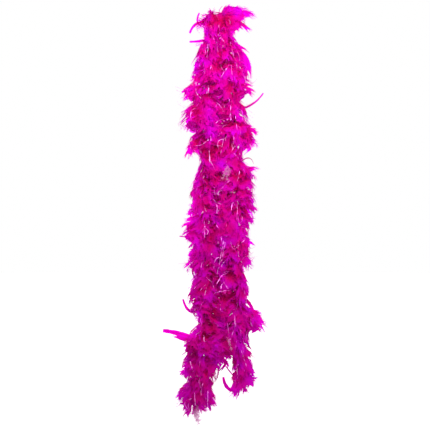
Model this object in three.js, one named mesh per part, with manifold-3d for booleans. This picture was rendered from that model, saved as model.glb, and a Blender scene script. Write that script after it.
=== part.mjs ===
// A feather boa hung over a hook, folded in half, with its two runs side by side.
//
// A limp core cord carries everything: a stitching thread winds round it and traps the quills of
// several hundred feathers and the middles of the tinsel strands, and each end is knotted.
// The cord bends anywhere, so the boa is cut into a fold and five links on each run, and a hinge
// joins each link to the one above it.
//
// Millimetres, +Z up, +X to the viewer's right, the front towards -Y. The origin is the point
// where the underside of the fold rests on the hook.

import * as THREE from "three";
import { mergeVertices } from "three/addons/utils/BufferGeometryUtils.js";
import Module from "manifold-3d";

const wasm = await Module();
wasm.setup();

// ---------------------------------------------------------------- driving dimensions

const CORD_RADIUS = 2.2;
const CORD_SIDES = 8;
const CORD_STEP = 17; // length of one straight step of the cord's tube

const THREAD_RADIUS = 0.4;
const THREAD_COIL_RADIUS = 3.2; // centre of the thread to the centre of the cord
const THREAD_PITCH = 45;
const THREAD_STEPS_PER_TURN = 8;
const THREAD_OUTSIDE = THREAD_COIL_RADIUS + THREAD_RADIUS;

const FOLD_RADIUS = 18; // of the cord's centre line, over the hook
const NECK_Z = -45; // where each run starts to bend freely

// Centre line of each run, from the neck down: the hinges, then the end knot.
const RUNS = {
  left: [
    [-19, 0, NECK_Z],
    [-34, 4, -217],
    [-29, -3, -390],
    [-30, 4, -562],
    [-34, 0, -735],
    [-48, -2, -907],
  ],
  right: [
    [19, 0, NECK_Z],
    [38, -4, -209],
    [44, 3, -373],
    [42, -4, -537],
    [50, 0, -702],
    [52, 3, -866],
  ],
};

// Room at a hinge, measured along the link: the cord, thread and feathers of a link all stay
// inside a cone under its hinge, so that it can bend by 45 degrees without meeting the one above.
const CORD_ROOM = 2.5;
const THREAD_ROOM = 6;
const SLEEVE_ROOM_TOP = 12;
const SLEEVE_ROOM_BOTTOM = 5;

const SLEEVE_FINS = 8;
const SLEEVE_BORE = 4.4;
const SLEEVE_COLLAR = 6; // radius of the gathered quills
const SLEEVE_VALLEY = 13; // between two vanes
const REACH_FRONT = 44; // vane tips towards the front and the back
const REACH_OUTER = 41; // away from the other run
const REACH_INNER = 36; // towards the other run
const REACH_INNER_TOP = 21; // the same on the top link, where the runs come together

const RAGGED_WAVES = 1.5; // how often a hem rises and falls round the cord
const FEATHER_THICKNESS = 2;
const STRAY_ROOT = 20; // where a stray feather comes out between two vanes
const COLLAR_LENGTH = 8;
const COLLAR_BORE = 5;
const COLLAR_RADIUS = 6.2;

const TINSEL_WIDTH = 1.4;
const TINSEL_THICKNESS = 0.6;

const KNOT_RADIUS = 4.6;
const KNOT_TUBE = 1.9;
const KNOT_GAP = 0.6;
const TAIL_LENGTH = 34; // of cord left under the knot
const TAIL_RADIUS = 1.8;

// ---------------------------------------------------------------- materials

const cordMaterial = new THREE.MeshStandardMaterial({ color: 0x9c0a5c, roughness: 0.85 });
const threadMaterial = new THREE.MeshStandardMaterial({ color: 0xc21f80, roughness: 0.7 });
const featherMaterial = new THREE.MeshStandardMaterial({ color: 0xe2009c, roughness: 0.75 });
const tinselMaterial = new THREE.MeshStandardMaterial({
  color: 0xf3b9dc,
  roughness: 0.25,
  metalness: 0.9,
});

// ---------------------------------------------------------------- geometry helpers

function toSolid(geometry) {
  const bare = geometry.clone();
  bare.deleteAttribute("normal");
  bare.deleteAttribute("uv");
  const merged = mergeVertices(bare, 1e-4);
  return new wasm.Manifold(
    new wasm.Mesh({
      numProp: 3,
      vertProperties: new Float32Array(merged.attributes.position.array),
      triVerts: new Uint32Array(merged.index.array),
    }),
  );
}

function joined(geometries) {
  const solids = geometries.map(toSolid);
  const whole = solids.reduce((sum, solid) => sum.add(solid));
  const mesh = whole.getMesh();
  const geometry = new THREE.BufferGeometry();
  geometry.setAttribute("position", new THREE.BufferAttribute(mesh.vertProperties, 3));
  geometry.setIndex(new THREE.BufferAttribute(mesh.triVerts, 1));
  return geometry;
}

function piece(name, geometry, material) {
  const mesh = new THREE.Mesh(geometry, material);
  mesh.name = name;
  return mesh;
}

// A closed tube of the given section shape along a curve.
function tube(section, path, steps) {
  return new THREE.ExtrudeGeometry(section, { extrudePath: path, steps, bevelEnabled: false });
}

function polygon(radius, sides) {
  const corners = [];
  for (let i = 0; i < sides; i += 1) {
    const angle = (2 * Math.PI * i) / sides;
    corners.push(new THREE.Vector2(radius * Math.cos(angle), radius * Math.sin(angle)));
  }
  return new THREE.Shape(corners);
}

function rectangle(width, height) {
  return new THREE.Shape([
    new THREE.Vector2(-width / 2, -height / 2),
    new THREE.Vector2(width / 2, -height / 2),
    new THREE.Vector2(width / 2, height / 2),
    new THREE.Vector2(-width / 2, height / 2),
  ]);
}

// A point at a radius and azimuth round a link's axis, a distance down from its hinge.
function around(radius, degrees, down) {
  const angle = THREE.MathUtils.degToRad(degrees);
  return new THREE.Vector3(radius * Math.cos(angle), radius * Math.sin(angle), -down);
}

// ---------------------------------------------------------------- the core cord and its thread

// The cord's centre line over the hook, from the left neck to the right neck.
class FoldCurve extends THREE.Curve {
  constructor() {
    super();
    this.centreZ = THREAD_OUTSIDE - FOLD_RADIUS;
    this.leg = this.centreZ - NECK_Z;
    this.arc = Math.PI * FOLD_RADIUS;
    this.total = 2 * this.leg + this.arc;
  }

  getPoint(t, target = new THREE.Vector3()) {
    const along = t * this.total;
    const lean = RUNS.right[0][0] - FOLD_RADIUS; // the necks stand a little wider than the arch
    if (along < this.leg) {
      const down = 1 - along / this.leg;
      return target.set(-FOLD_RADIUS - lean * down, 0, this.centreZ - this.leg * down);
    }
    if (along > this.leg + this.arc) {
      const down = (along - this.leg - this.arc) / this.leg;
      return target.set(FOLD_RADIUS + lean * down, 0, this.centreZ - this.leg * down);
    }
    const angle = Math.PI - (along - this.leg) / FOLD_RADIUS;
    const x = FOLD_RADIUS * Math.cos(angle);
    return target.set(x, 0, this.centreZ + FOLD_RADIUS * Math.sin(angle));
  }
}

// The stitching thread: a helix round a stretch of cord whose curve lies in the XZ plane.
class ThreadCurve extends THREE.Curve {
  constructor(core, turns, phase) {
    super();
    this.core = core;
    this.turns = turns;
    this.phase = phase;
  }

  getPoint(t, target = new THREE.Vector3()) {
    const angle = this.phase + 2 * Math.PI * this.turns * t;
    const tangent = this.core.getTangent(t);
    const side = new THREE.Vector3(-tangent.z, 0, tangent.x).normalize();
    target.copy(this.core.getPoint(t));
    target.addScaledVector(side, THREAD_COIL_RADIUS * Math.cos(angle));
    target.y += THREAD_COIL_RADIUS * Math.sin(angle);
    return target;
  }
}

function threadRound(core, length, phase) {
  const turns = length / THREAD_PITCH;
  const steps = Math.round(turns * THREAD_STEPS_PER_TURN);
  return tube(polygon(THREAD_RADIUS, 4), new ThreadCurve(core, turns, phase), steps);
}

function straight(top, bottom) {
  return new THREE.LineCurve3(new THREE.Vector3(0, 0, -top), new THREE.Vector3(0, 0, -bottom));
}

// ---------------------------------------------------------------- feathers

// How far the vane tips reach at an azimuth: an oval, flatter towards the other run.
function vaneReach(angle, reachX) {
  return 1 / Math.hypot(Math.cos(angle) / reachX, Math.sin(angle) / REACH_FRONT);
}

// A link's sleeve of feathers: a ring of upright vanes gathered round the cord at the top, in two
// tiers that spread like skirts. The tips of each tier's hem are ragged.
function featherSleeve(length, innerSide, reachInner) {
  const hem = length - SLEEVE_ROOM_BOTTOM;
  const rings = [
    { down: SLEEVE_ROOM_TOP, spread: 0.1 },
    { down: 36, spread: 0.62 },
    { down: 58, spread: 0.95 },
    { down: 92, spread: 1, ragged: 14 },
    { down: 76, spread: 0.5 },
    { down: 112, spread: 0.86 },
    { down: hem - 16, spread: 1, ragged: 12 },
    { down: hem, spread: 0.5 },
  ];
  const profile = [
    new THREE.Vector2(SLEEVE_BORE, -SLEEVE_ROOM_TOP),
    ...rings.map((ring) => new THREE.Vector2(SLEEVE_COLLAR, -ring.down)),
    new THREE.Vector2(SLEEVE_BORE, -hem),
  ];
  profile.push(profile[0].clone());
  profile.reverse();
  const meridians = 2 * SLEEVE_FINS;
  const geometry = new THREE.LatheGeometry(profile, meridians, (2 * Math.PI) / meridians);
  geometry.rotateX(Math.PI / 2);
  const position = geometry.attributes.position;
  for (let i = 0; i < position.count; i += 1) {
    const meridian = Math.floor(i / profile.length);
    const ring = rings[profile.length - 2 - (i % profile.length)];
    if (!ring) continue;
    const angle = Math.atan2(position.getY(i), position.getX(i));
    const facing = Math.sign(Math.cos(angle)) === innerSide;
    const tip = vaneReach(angle, facing ? reachInner : REACH_OUTER);
    const full = meridian % 2 ? SLEEVE_VALLEY : tip;
    const radius = SLEEVE_COLLAR + (full - SLEEVE_COLLAR) * ring.spread;
    const lift = (ring.ragged ?? 0) * Math.cos(RAGGED_WAVES * angle + length) ** 2;
    position.setXYZ(i, radius * Math.cos(angle), radius * Math.sin(angle), lift - ring.down);
  }
  return geometry;
}

// One feather as a plate: the quill end at the origin, the tip along +X, drooping towards -Y.
function featherBlade(length, width, droop) {
  const shape = new THREE.Shape();
  shape.moveTo(0, 0.8);
  shape.quadraticCurveTo(length * 0.45, width * 0.9, length, -droop);
  shape.quadraticCurveTo(length * 0.4, -width * 0.8 - droop * 0.3, 0, -0.8);
  const geometry = new THREE.ExtrudeGeometry(shape, {
    depth: FEATHER_THICKNESS,
    curveSegments: 5,
    bevelEnabled: false,
  });
  geometry.translate(0, 0, -FEATHER_THICKNESS / 2);
  return geometry;
}

// Turns a blade to point along a direction, its upper edge towards the given up vector.
function aim(geometry, from, direction, up) {
  const x = direction.clone().normalize();
  const z = new THREE.Vector3().crossVectors(x, up).normalize();
  const y = new THREE.Vector3().crossVectors(z, x);
  const matrix = new THREE.Matrix4().makeBasis(x, y, z).setPosition(from);
  return geometry.applyMatrix4(matrix);
}

// A tuft on the fold: a collar of gathered quills round the cord, with feathers fanning out.
// The cord runs along Z here, and outward is +X.
function foldTuft(feathers) {
  const half = COLLAR_LENGTH / 2;
  const profile = [
    new THREE.Vector2(COLLAR_BORE, -half),
    new THREE.Vector2(COLLAR_RADIUS, -half),
    new THREE.Vector2(COLLAR_RADIUS, half),
    new THREE.Vector2(COLLAR_BORE, half),
    new THREE.Vector2(COLLAR_BORE, -half),
  ];
  const collar = new THREE.LatheGeometry(profile, CORD_SIDES, Math.PI / CORD_SIDES);
  collar.rotateX(Math.PI / 2);
  const blades = feathers.map(({ along, around: turn, length }) => {
    const a = THREE.MathUtils.degToRad(along);
    const b = THREE.MathUtils.degToRad(turn);
    const direction = new THREE.Vector3(
      Math.cos(a) * Math.cos(b),
      Math.cos(a) * Math.sin(b),
      Math.sin(a),
    );
    const root = new THREE.Vector3(Math.cos(b), Math.sin(b), 0);
    root.multiplyScalar((COLLAR_BORE + COLLAR_RADIUS) / 2);
    return aim(featherBlade(length, length * 0.28, 4), root, direction, new THREE.Vector3(0, 0, 1));
  });
  return joined([collar, ...blades]);
}

// ---------------------------------------------------------------- tinsel

// A strand held at its middle against the cord, with both ends lying between the vanes.
function tinselStrand(frontAzimuth, hang) {
  const half = (sign) => [
    around(10, frontAzimuth + sign * 24, 8.2),
    around(15, frontAzimuth + sign * 41, 14.5),
    around(22, frontAzimuth + sign * 45, 33),
    around(28, frontAzimuth + sign * 45, 60),
    around(29, frontAzimuth + sign * 45, hang),
  ];
  const points = [...half(-1).reverse(), around(5.4, frontAzimuth, 7.6), ...half(1)];
  const path = new THREE.CatmullRomCurve3(points, false, "centripetal");
  return tube(rectangle(TINSEL_WIDTH, TINSEL_THICKNESS), path, 16);
}

// ---------------------------------------------------------------- the fold

function makeFold() {
  const fold = new THREE.Group();
  const core = new FoldCurve();
  const steps = Math.round(core.total / (CORD_STEP / 2));
  fold.add(piece("core_cord_fold", tube(polygon(CORD_RADIUS, CORD_SIDES), core, steps), cordMaterial));
  fold.add(piece("stitch_thread_fold", threadRound(core, core.total, 0), threadMaterial));

  // Each tuft's place on the arch, in degrees up from the right, and its feathers: the angle
  // along the cord and round it, and the length.
  const tufts = {
    right: {
      at: 22,
      feathers: [
        { along: -62, around: 8, length: 40 },
        { along: -20, around: -38, length: 52 },
        { along: 6, around: 0, length: 74 },
        { along: 34, around: 42, length: 50 },
      ],
    },
    top: {
      at: 90,
      feathers: [
        { along: -52, around: 30, length: 38 },
        { along: -14, around: -42, length: 34 },
        { along: 12, around: 44, length: 34 },
        { along: 50, around: -28, length: 40 },
      ],
    },
    left: {
      at: 158,
      feathers: [
        { along: -40, around: -40, length: 44 },
        { along: -4, around: 2, length: 52 },
        { along: 24, around: 40, length: 48 },
        { along: 60, around: -8, length: 42 },
      ],
    },
  };
  for (const [side, { at, feathers }] of Object.entries(tufts)) {
    const mesh = piece(`feather_tuft_fold_${side}`, foldTuft(feathers), featherMaterial);
    const angle = THREE.MathUtils.degToRad(at);
    const outward = new THREE.Vector3(Math.cos(angle), 0, Math.sin(angle));
    const tangent = new THREE.Vector3(-Math.sin(angle), 0, Math.cos(angle));
    const front = new THREE.Vector3().crossVectors(tangent, outward);
    mesh.position.copy(outward).multiplyScalar(FOLD_RADIUS);
    mesh.position.z += core.centreZ;
    mesh.quaternion.setFromRotationMatrix(new THREE.Matrix4().makeBasis(outward, front, tangent));
    fold.add(mesh);
  }

  // A strand slung over the crown of the fold, clear of the tufts, its ends front and back.
  const crown = core.centreZ + FOLD_RADIUS + THREAD_OUTSIDE + 1.2;
  const slung = new THREE.CatmullRomCurve3(
    [
      new THREE.Vector3(-11, -26, crown - 24),
      new THREE.Vector3(-10, -13, crown - 4),
      new THREE.Vector3(-9, 0, crown + 0.5),
      new THREE.Vector3(-10, 13, crown - 4),
      new THREE.Vector3(-11, 24, crown - 22),
    ],
    false,
    "centripetal",
  );
  const strand = tube(rectangle(TINSEL_THICKNESS, TINSEL_WIDTH), slung, 10);
  fold.add(piece("tinsel_strand_fold", strand, tinselMaterial));
  return fold;
}

// ---------------------------------------------------------------- the runs

// Single feathers that stand out of a sleeve between two of its vanes: the link they are on,
// their azimuth, how far down the link they leave it, and their reach from the cord.
const STRAY_FEATHERS = {
  left_1: { azimuth: 180, down: 118, reach: 58 },
  left_2: { azimuth: 180, down: 62, reach: 62 },
  left_3: { azimuth: 90, down: 84, reach: 60 },
  left_4: { azimuth: 180, down: 138, reach: 90 },
  right_1: { azimuth: 0, down: 112, reach: 74 },
  right_2: { azimuth: 0, down: 70, reach: 58 },
  right_3: { azimuth: 270, down: 84, reach: 60 },
  right_5: { azimuth: 0, down: 66, reach: 66 },
};

function makeLink(run, number, start, end) {
  const link = new THREE.Group();
  const name = `${run}_${number}`;
  const from = new THREE.Vector3(...start);
  const direction = new THREE.Vector3(...end).sub(from);
  const length = direction.length();
  link.position.copy(from);
  link.quaternion.setFromUnitVectors(new THREE.Vector3(0, 0, -1), direction.normalize());

  const cord = straight(CORD_ROOM, length);
  const cordSteps = Math.round(length / CORD_STEP);
  const cordTube = tube(polygon(CORD_RADIUS, CORD_SIDES), cord, cordSteps);
  link.add(piece(`core_cord_${name}`, cordTube, cordMaterial));

  const stitched = straight(THREAD_ROOM, length - THREAD_ROOM);
  const thread = threadRound(stitched, length - 2 * THREAD_ROOM, number);
  link.add(piece(`stitch_thread_${name}`, thread, threadMaterial));

  const innerSide = run === "left" ? 1 : -1;
  const reachInner = number === 1 ? REACH_INNER_TOP : REACH_INNER;
  const sleeve = featherSleeve(length, innerSide, reachInner);
  link.add(piece(`feather_sleeve_${name}`, sleeve, featherMaterial));

  const front = number % 2 ? 270 : 90;
  const strand = tinselStrand(front, 88 + 7 * number);
  link.add(piece(`tinsel_strand_${name}`, strand, tinselMaterial));

  const stray = STRAY_FEATHERS[name];
  if (stray) {
    const root = around(STRAY_ROOT, stray.azimuth, stray.down);
    const outward = around(1, stray.azimuth, 0);
    const blade = featherBlade(stray.reach - STRAY_ROOT, 15, 6);
    aim(blade, root, outward, new THREE.Vector3(0, 0, 1));
    link.add(piece(`stray_feather_${name}`, blade, featherMaterial));
  }
  return link;
}

// The cord's own end, tied in an overhand knot under the last link, with its short tail.
function makeKnot(run, start, end) {
  const direction = new THREE.Vector3(...end).sub(new THREE.Vector3(...start)).normalize();
  const knot = new THREE.TorusKnotGeometry(KNOT_RADIUS, KNOT_TUBE, 30, 5, 2, 3);
  knot.computeBoundingBox();
  const { max } = knot.boundingBox;
  // the tail leaves the lowest of the knot's three lobes, which stand 1.5 radii out
  const lobe = THREE.MathUtils.degToRad(240);
  const tail = new THREE.CylinderGeometry(TAIL_RADIUS, TAIL_RADIUS / 2, TAIL_LENGTH, 6);
  tail.translate(
    1.5 * KNOT_RADIUS * Math.cos(lobe),
    1.5 * KNOT_RADIUS * Math.sin(lobe) - TAIL_LENGTH / 2,
    0,
  );
  const mesh = piece(`end_knot_${run}`, joined([knot, tail]), cordMaterial);
  mesh.quaternion.setFromUnitVectors(new THREE.Vector3(0, -1, 0), direction);
  mesh.position.set(...end);
  mesh.position.addScaledVector(direction, max.y + KNOT_GAP);
  return mesh;
}

// ---------------------------------------------------------------- the boa

const boa = new THREE.Group();
boa.add(makeFold());
for (const [run, points] of Object.entries(RUNS)) {
  for (let i = 1; i < points.length; i += 1) {
    boa.add(makeLink(run, i, points[i - 1], points[i]));
  }
  boa.add(makeKnot(run, points.at(-2), points.at(-1)));
}

export default boa;
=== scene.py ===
"""A feather boa with tinsel, hung over a hook and folded in half: the looks round the CAD frame.

Everything is built along the core cord. A place on the boa is a run ("left" or "right") and a
distance down that run from the crown of the fold. Feathers, tinsel, thread and cord are made in
sections that reach from the middle of one link to the middle of the next.
"""

import math

import bpy
import numpy as np
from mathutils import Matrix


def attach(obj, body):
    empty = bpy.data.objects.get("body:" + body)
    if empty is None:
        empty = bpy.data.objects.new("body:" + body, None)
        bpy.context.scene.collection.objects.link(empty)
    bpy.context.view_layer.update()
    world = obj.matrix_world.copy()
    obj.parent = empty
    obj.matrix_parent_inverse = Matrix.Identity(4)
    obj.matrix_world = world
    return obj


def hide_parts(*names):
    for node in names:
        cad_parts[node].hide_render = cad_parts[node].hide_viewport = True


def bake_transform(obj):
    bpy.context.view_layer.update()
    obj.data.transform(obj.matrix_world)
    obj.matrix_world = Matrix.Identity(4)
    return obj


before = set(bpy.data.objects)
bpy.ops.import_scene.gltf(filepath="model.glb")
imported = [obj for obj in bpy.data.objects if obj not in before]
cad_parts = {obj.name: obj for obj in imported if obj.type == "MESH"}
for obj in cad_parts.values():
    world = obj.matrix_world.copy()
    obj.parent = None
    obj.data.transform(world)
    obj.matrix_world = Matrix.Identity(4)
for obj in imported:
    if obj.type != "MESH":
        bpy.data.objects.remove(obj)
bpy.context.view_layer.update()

# ---------------------------------------------------------------- driving dimensions, in metres

MM = 0.001
SEED = 41

CORD_DIAMETER = 4.4 * MM
PLIES = 3
PLY_PITCH = 16 * MM
THREAD_RADIUS = 0.28 * MM
THREAD_PITCH = 7 * MM

FOLD_RADIUS = 18 * MM  # of the cord's centre line over the hook
CROWN_Z = 3.6 * MM  # the same line at its highest
RUNS = {  # the cord's centre line from the neck down: the hinges, then the end
    "left": [
        (-19, 0, -45),
        (-34, 4, -217),
        (-29, -3, -390),
        (-30, 4, -562),
        (-34, 0, -735),
        (-48, -2, -907),
    ],
    "right": [
        (19, 0, -45),
        (38, -4, -209),
        (44, 3, -373),
        (42, -4, -537),
        (50, 0, -702),
        (52, 3, -866),
    ],
}
FOLD_HALF = 46 * MM  # of core that stays with the fold, each side of the crown

FEATHER_LENGTH = (54 * MM, 72 * MM)
FEATHER_SPACING = 2.5 * MM  # along the core
UNDER_LENGTH = (38 * MM, 56 * MM)  # of the short feathers that fill the fluff below them
UNDER_SPACING = 1.4 * MM
BROAD_VARIANTS = 10

# Where the fluff ends at the sides, seen from the front: (height, distance from the middle plane).
# The points were chosen in millimetres with a script's list of the photo's silhouette at hand, then
# moved after difference pictures.
OUTLINE = {
    "left": [
        (30, -12), (16, -32), (0, -41), (-12, -42), (-24, -30), (-36, -23), (-50, -27), (-67, -42),
        (-91, -50), (-118, -60), (-158, -62), (-176, -84), (-192, -80),
        (-207, -60), (-222, -82), (-254, -83), (-262, -74), (-268, -47), (-276, -50), (-288, -66),
        (-310, -67), (-322, -50), (-334, -40),
        (-360, -48), (-384, -58), (-415, -65), (-475, -62), (-502, -82), (-520, -80), (-530, -65),
        (-571, -70), (-595, -73), (-619, -58), (-643, -65), (-668, -72), (-690, -70), (-706, -58),
        (-724, -42), (-738, -46),
        (-752, -66), (-782, -80), (-796, -76), (-808, -80), (-844, -83), (-858, -86), (-868, -72),
        (-884, -76), (-902, -99), (-916, -98), (-930, -82), (-943, -78),
    ],
    "right": [
        (34, 30), (26, 48), (12, 60), (-4, 64), (-18, 54), (-32, 35), (-42, 29), (-54, 36), (-67, 48),
        (-91, 60), (-118, 68), (-158, 70), (-176, 77), (-186, 54), (-196, 43), (-206, 54), (-220, 68),
        (-242, 72), (-270, 80), (-290, 84), (-303, 80), (-314, 62), (-326, 56), (-350, 62),
        (-365, 86), (-384, 82), (-415, 86), (-451, 86), (-499, 77), (-550, 77), (-580, 72), (-592, 62),
        (-607, 61), (-643, 73), (-672, 73), (-690, 68), (-704, 84), (-736, 100), (-746, 78), (-764, 72),
        (-804, 84),
        (-820, 79), (-844, 87), (-868, 87), (-883, 80), (-905, 60),
    ],
}

# The same for the sides that the two runs turn to each other, which overlap until near the ends.
INNER_OUTLINE = {
    "left": [
        (-14, 4), (-50, 10), (-200, 18), (-400, 26), (-600, 26), (-760, 26), (-815, 28), (-840, 4),
        (-858, -4), (-880, -20), (-895, -18), (-920, -4), (-930, -8), (-942, -24),
    ],
    "right": [
        (-14, -4), (-50, -8), (-200, -14), (-400, -12), (-600, -12), (-770, -4), (-794, 16),
        (-806, 38), (-832, 45), (-856, 32), (-880, 36), (-905, 32),
    ],
}

rng = np.random.default_rng(SEED)


def unit(vector):
    return vector / np.linalg.norm(vector)


def unit_rows(vectors):
    return vectors / np.linalg.norm(vectors, axis=1)[:, None]


def new_object(name, data):
    made = bpy.data.objects.new(name, data)
    bpy.context.scene.collection.objects.link(made)
    return made


# ---------------------------------------------------------------- camera

CAMERA_HEIGHT = -472 * MM
CAMERA_SIDE = -7 * MM
FRAME_WIDTH = 1.032
LENS = 85
SENSOR = 36


def make_camera():
    data = bpy.data.cameras.new("camera")
    data.lens = LENS
    data.sensor_width = SENSOR
    camera = new_object("camera", data)
    camera.location = (CAMERA_SIDE, -FRAME_WIDTH * LENS / SENSOR, CAMERA_HEIGHT)
    camera.rotation_euler = (math.pi / 2, 0, 0)
    bpy.context.scene.camera = camera


make_camera()


# ---------------------------------------------------------------- the core's centre line


def smooth_line(points, step=1 * MM):
    """A smooth curve through the points, sampled at even steps, and the length up to each."""
    points = np.array(points)
    knots = np.r_[0, np.cumsum(np.linalg.norm(np.diff(points, axis=0), axis=1))]
    slopes = np.gradient(points, knots, axis=0)
    fine = []
    for i in range(len(points) - 1):
        width = knots[i + 1] - knots[i]
        t = np.linspace(0, 1, max(4, int(width / step)), endpoint=False)[:, None]
        start, end = points[i], points[i + 1]
        fine.append(
            (2 * t**3 - 3 * t**2 + 1) * start
            + (t**3 - 2 * t**2 + t) * width * slopes[i]
            + (3 * t**2 - 2 * t**3) * end
            + (t**3 - t**2) * width * slopes[i + 1]
        )
    fine = np.vstack([*fine, points[-1:]])
    along = np.r_[0, np.cumsum(np.linalg.norm(np.diff(fine, axis=0), axis=1))]
    return fine, along


def core_points():
    """The core's centre line from the left end over the crown to the right end."""
    left = [np.array(p) * MM for p in RUNS["left"]]
    right = [np.array(p) * MM for p in RUNS["right"]]
    centre = np.array([0, 0, CROWN_Z - FOLD_RADIUS])
    arch = [
        centre + FOLD_RADIUS * np.array([-math.cos(a), 0, math.sin(a)])
        for a in np.linspace(0, math.pi, 9)
    ]
    return left[::-1] + arch + right


CORE, CORE_ALONG = smooth_line(core_points())
CROWN = CORE_ALONG[np.argmax(CORE[:, 2])]
TOWARDS = {"left": -1, "right": 1}  # which way a run goes along the core
RUN_LENGTH = {"left": CROWN, "right": CORE_ALONG[-1] - CROWN}


def core_along(along):
    """The point, or points, on the core's centre line at a length along it."""
    return np.stack([np.interp(along, CORE_ALONG, CORE[:, axis]) for axis in range(3)], axis=-1)


def core_at(run, down):
    """The point on the core's centre line a distance down a run from the crown."""
    return core_along(CROWN + TOWARDS[run] * down)


def axes_at(run, down):
    """The core's direction away from the crown, the side away from the other run, the front."""
    reach = 3 * MM
    ahead = unit(core_at(run, down + reach) - core_at(run, down - reach))
    outer = unit(TOWARDS[run] * np.cross(ahead, (0, 1, 0)))
    front = TOWARDS[run] * np.cross(outer, ahead)
    return ahead, outer, front if front[1] < 0 else -front


def distance_of(run, point):
    """How far down a run a point on the core lies."""
    nearest = np.argmin(np.linalg.norm(CORE - np.array(point), axis=1))
    return TOWARDS[run] * (CORE_ALONG[nearest] - CROWN)


# ---------------------------------------------------------------- sections, one over each hinge


class Section:
    """A stretch of one run, or of the fold, and the bodies that it follows."""

    def __init__(self, name, run, start, end, above, below=None, hinge=None):
        self.name = name
        self.run = run
        self.start = start
        self.end = end
        self.above = above
        self.below = below
        self.hinge = hinge

    def attach(self, piece):
        """Makes a piece ride on this section's one body, or, where the section spans a hinge, bakes its
        place into its mesh and leaves it on no body.
        """
        if self.below is None:
            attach(piece, self.above)
            return
        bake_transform(piece)


def make_sections():
    """Each run's sections from the fold down, with their edges midway between hinges."""
    sections = []
    for run, points in RUNS.items():
        hinges = [distance_of(run, np.array(p) * MM) for p in points]
        middles = [(a + b) / 2 for a, b in zip(hinges, hinges[1:])]
        sections.append(Section(f"{run}_fold", run, 0, FOLD_HALF, "fold"))
        edges = [FOLD_HALF, *middles]
        bodies = ["fold"] + [f"{run}_{k}" for k in range(1, len(points))]
        for k, hinge in enumerate(hinges[:-1]):
            above, below = bodies[k], bodies[k + 1]
            name = f"{run}_{k}_{k + 1}"
            sections.append(Section(name, run, edges[k], edges[k + 1], above, below, hinge))
        last = Section(f"{run}_end", run, edges[-1], hinges[-1], bodies[-1])
        sections.append(last)
    return sections


SECTIONS = make_sections()


# ---------------------------------------------------------------- piles of small geometry


class Pile:
    """Vertices and quads gathered from many small things, made into one mesh at the end."""

    def __init__(self):
        self.points = []
        self.quads = []
        self.looks = []
        self.loose = []
        self.count = 0

    def add(self, points, quads, looks, loose=0.0):
        self.points.append(points)
        self.quads.append(quads + self.count)
        self.looks.append(looks)
        self.loose.append(np.full(len(points), loose))
        self.count += len(points)

    def make(self, name, material):
        points = np.vstack(self.points).astype(np.float32)
        quads = np.vstack(self.quads).astype(np.int32)
        mesh = bpy.data.meshes.new(name)
        mesh.vertices.add(len(points))
        mesh.vertices.foreach_set("co", points.ravel())
        mesh.loops.add(quads.size)
        mesh.loops.foreach_set("vertex_index", quads.ravel())
        mesh.polygons.add(len(quads))
        mesh.polygons.foreach_set("loop_start", np.arange(0, quads.size, 4, dtype=np.int32))
        mesh.polygons.foreach_set("use_smooth", np.full(len(quads), True))
        look = mesh.attributes.new("look", "FLOAT_COLOR", "POINT")
        look.data.foreach_set("color", np.vstack(self.looks).astype(np.float32).ravel())
        mesh.update(calc_edges=True)
        mesh.materials.append(material)
        return new_object(name, mesh)


def tube_points(line, radii, sides):
    """Rings of points round a line, and the quads between them."""
    line = np.asarray(line)
    tangents = unit_rows(np.gradient(line, axis=0))
    guide = np.array([0.31, -0.87, 0.38])  # a direction that no line here starts in
    normal = np.cross(tangents[0], guide)
    rings = []
    for point, tangent, radius in zip(line, tangents, radii):
        normal = unit(normal - tangent * (normal @ tangent))
        across = np.cross(tangent, normal)
        angles = 2 * math.pi * np.arange(sides) / sides
        ring = np.cos(angles)[:, None] * normal + np.sin(angles)[:, None] * across
        rings.append(point + radius * ring)
    index = np.arange(sides)
    ahead = (index + 1) % sides
    quads = [
        np.c_[k * sides + index, k * sides + ahead, (k + 1) * sides + ahead, (k + 1) * sides + index]
        for k in range(len(line) - 1)
    ]
    return np.vstack(rings), np.vstack(quads)


# ---------------------------------------------------------------- feathers, drawn flat
#
# A flat feather runs along u from the quill's end at 0 to the tip at 1, with y across it and z
# up from its face, all as shares of its length. "thin" goes from 0 at the quill, where the dye is
# deepest, to 1 at the ends of the barbs near the tip, which are painted magenta partly as painted
# glow of light through thin barbs.


class FlatFeather:
    def __init__(self):
        self.points = []
        self.thin = []
        self.shade = []
        self.quads = []
        self.count = 0

    def grid(self, u, y, z, thin, shade, closed=()):
        """Rows of points with faces between neighbours, except where a parting is closed off."""
        rows, columns = u.shape
        self.points.append(np.stack([u, y, z], axis=-1).reshape(-1, 3))
        self.thin.append(np.broadcast_to(thin, u.shape).ravel())
        self.shade.append(np.broadcast_to(shade, u.shape).ravel())
        for row in range(rows - 1):
            last = 1 if row in closed else columns - 1
            at = self.count + row * columns + np.arange(last)
            self.quads.append(np.c_[at, at + 1, at + columns + 1, at + columns])
        self.count += u.size

    def ribbon(self, u, y, z, widths, tilt, thin, shade):
        """A narrow strip whose middle follows (u, y, z), tilted like a slat."""
        du, dy = np.gradient(u), np.gradient(y)
        size = np.hypot(du, dy) + 1e-9
        sign = np.array([[-1.0], [1.0]])
        self.grid(
            u - sign * widths * dy / size, y + sign * widths * du / size,
            z + sign * tilt * widths, thin, shade,
        )

    def finished(self):
        self.u, self.y, self.z = np.vstack(self.points).T
        self.thin = np.concatenate(self.thin)
        self.shade = np.concatenate(self.shade)
        self.quads = np.vstack(self.quads)
        return self


def add_shaft(feather, thickness, end=0.96):
    """The shaft as two tapering strips with a ridge between them."""
    u = np.linspace(0, end, 9)
    widths = thickness * (1 - 0.85 * u)
    rows = np.array([[-1.0], [0.0], [1.0]])
    feather.grid(
        np.broadcast_to(u, (3, 9)), rows * widths, thickness * (1.6 - 1.4 * np.abs(rows)) + 0 * u,
        0.1 + 0.3 * u, 0.4,
    )


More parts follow.
